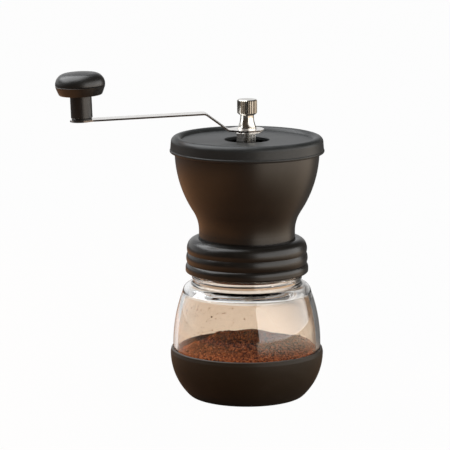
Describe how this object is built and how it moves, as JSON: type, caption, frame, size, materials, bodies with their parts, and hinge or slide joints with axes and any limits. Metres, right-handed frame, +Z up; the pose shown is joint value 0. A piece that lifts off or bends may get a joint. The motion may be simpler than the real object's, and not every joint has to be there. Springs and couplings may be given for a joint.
{
  "type": "hand coffee grinder",
  "caption": "Hand crank coffee grinder: flared bean hopper with lid, steel crank with knob and thumb nut, screw collar, glass jar of ground coffee in a dark boot.",
  "frame": {"origin": "centre of the boot's underside, on the surface the grinder stands on", "axes": "+Z up along the drive shaft, -X from the shaft towards the crank's knob"},
  "size_m": [0.1588, 0.0916, 0.1961],
  "materials": {
    "silicone": "matte soft silicone, near black",
    "clear_glass": "clear pressed glass, polished",
    "coffee": "heaped ground coffee, dark reddish brown, grainy",
    "gasket_rubber": "pale soft sealing ring",
    "black_plastic": "moulded black plastic, satin",
    "brown_plastic": "moulded brown-black plastic, fine matte grain",
    "grey_plastic": "slate grey soft plastic, matte",
    "burr_ceramic": "white unglazed ceramic with cut teeth",
    "steel": "bright steel, polished along its edges",
    "bright_nickel": "bright nickel plate with a straight knurl",
    "knob_plastic": "black plastic, satin to glossy"
  },
  "bodies": {
    "jar": {"glass_jar": "clear_glass", "jar_boot": "silicone", "ground_coffee": "coffee"},
    "gasket": {"jar_gasket": "gasket_rubber"},
    "head": {"screw_collar": "black_plastic", "hopper": "brown_plastic", "shaft_bridge": "black_plastic", "upper_bush": "black_plastic", "lower_bush": "black_plastic", "burr_carrier": "black_plastic", "ring_burr": "burr_ceramic", "carrier_screws": "steel"},
    "thrust": {"thrust_washer": "steel", "spring_washer": "steel"},
    "adjuster": {"adjusting_nut": "steel"},
    "drive": {"drive_shaft": "steel", "lock_plate": "steel", "burr_spring": "steel", "inner_burr": "burr_ceramic", "burr_driver": "black_plastic", "burr_nut": "steel"},
    "crank": {"crank_arm": "steel", "knob_washer": "black_plastic", "knob_pin": "steel"},
    "lid": {"hopper_lid": "grey_plastic"},
    "nut_ring": {"nut_washer": "steel"},
    "nut": {"thumb_nut": "bright_nickel"},
    "knob": {"knob_grip": "knob_plastic", "knob_cap": "knob_plastic"}
  },
  "joints": [
    {"name": "head_rise", "type": "slide", "parent": "jar", "child": "gasket", "axis": [0, 0, 1], "range_m": [0, 0.01201]},
    {"name": "head_unscrew", "type": "hinge", "parent": "gasket", "child": "head", "pos_m": [0, 0, 0.08], "axis": [0, 0, 1], "range_deg": [0, 720]},
    {"name": "crank_turn", "type": "hinge", "parent": "head", "child": "thrust", "pos_m": [0, 0, 0.1429], "axis": [0, 0, 1], "continuous": true},
    {"name": "adjust_turn", "type": "hinge", "parent": "thrust", "child": "adjuster", "pos_m": [0, 0, 0.1458], "axis": [0, 0, -1], "range_deg": [0, 346]},
    {"name": "grind_set", "type": "slide", "parent": "thrust", "child": "drive", "axis": [0, 0, 1], "range_m": [0, 0.0012], "deforming": ["burr_spring"]},
    {"name": "crank_lift", "type": "slide", "parent": "drive", "child": "crank", "axis": [0, 0, 1], "range_m": [0, 0.06]},
    {"name": "lid_lift", "type": "slide", "parent": "head", "child": "lid", "axis": [0, 0, 1], "range_m": [0, 0.036]},
    {"name": "nut_rise", "type": "slide", "parent": "crank", "child": "nut_ring", "axis": [0, 0, 1], "range_m": [0, 0.01201]},
    {"name": "nut_unscrew", "type": "hinge", "parent": "nut_ring", "child": "nut", "pos_m": [0, 0, 0.17], "axis": [0, 0, 1], "range_deg": [0, 4320]},
    {"name": "knob_spin", "type": "hinge", "parent": "crank", "child": "knob", "pos_m": [-0.09745, 0, 0.16784], "axis": [-0.0419, 0, 0.9991], "continuous": true}
  ],
  "couplings": [
    {"joint": "head_rise", "follows": "head_unscrew", "m_per_rad": 0.00095493},
    {"joint": "adjust_turn", "follows": "grind_set", "rad_per_m": 5026.5},
    {"joint": "lid_lift", "follows": "crank_lift", "ratio": 0.6},
    {"joint": "nut_rise", "follows": "nut_unscrew", "m_per_rad": 0.00015915}
  ]
}
